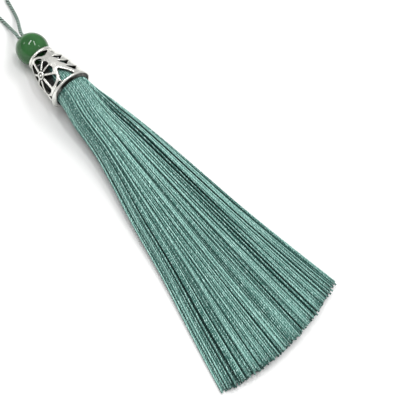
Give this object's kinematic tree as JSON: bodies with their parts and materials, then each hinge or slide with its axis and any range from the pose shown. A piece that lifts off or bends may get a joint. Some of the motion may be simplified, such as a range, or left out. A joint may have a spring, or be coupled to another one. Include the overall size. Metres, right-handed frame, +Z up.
{
  "type": "tassel with bead, metal cap and cord loop",
  "caption": "Small hanging tassel lying flat: a cord loop through a round green bead, a pierced silver cap and a fanned skirt of teal silky threads.",
  "frame": {"origin": "middle of the footprint of the tassel without its cord, on the surface it lies on", "axes": "+Y from the cut end of the skirt to the bead and the cord loop, +X across the fan, +Z up"},
  "size_m": [0.044, 0.1266, 0.0111],
  "materials": {
    "bead_stone": "polished, opaque",
    "cap_metal": "antiqued silver plate",
    "skirt_thread": "silky",
    "loop_cord": "matt"
  },
  "bodies": {
    "root": {"bead": "bead_stone", "cap": "cap_metal", "tassel": "skirt_thread", "hang_cord": "loop_cord"}
  },
  "joints": []
}
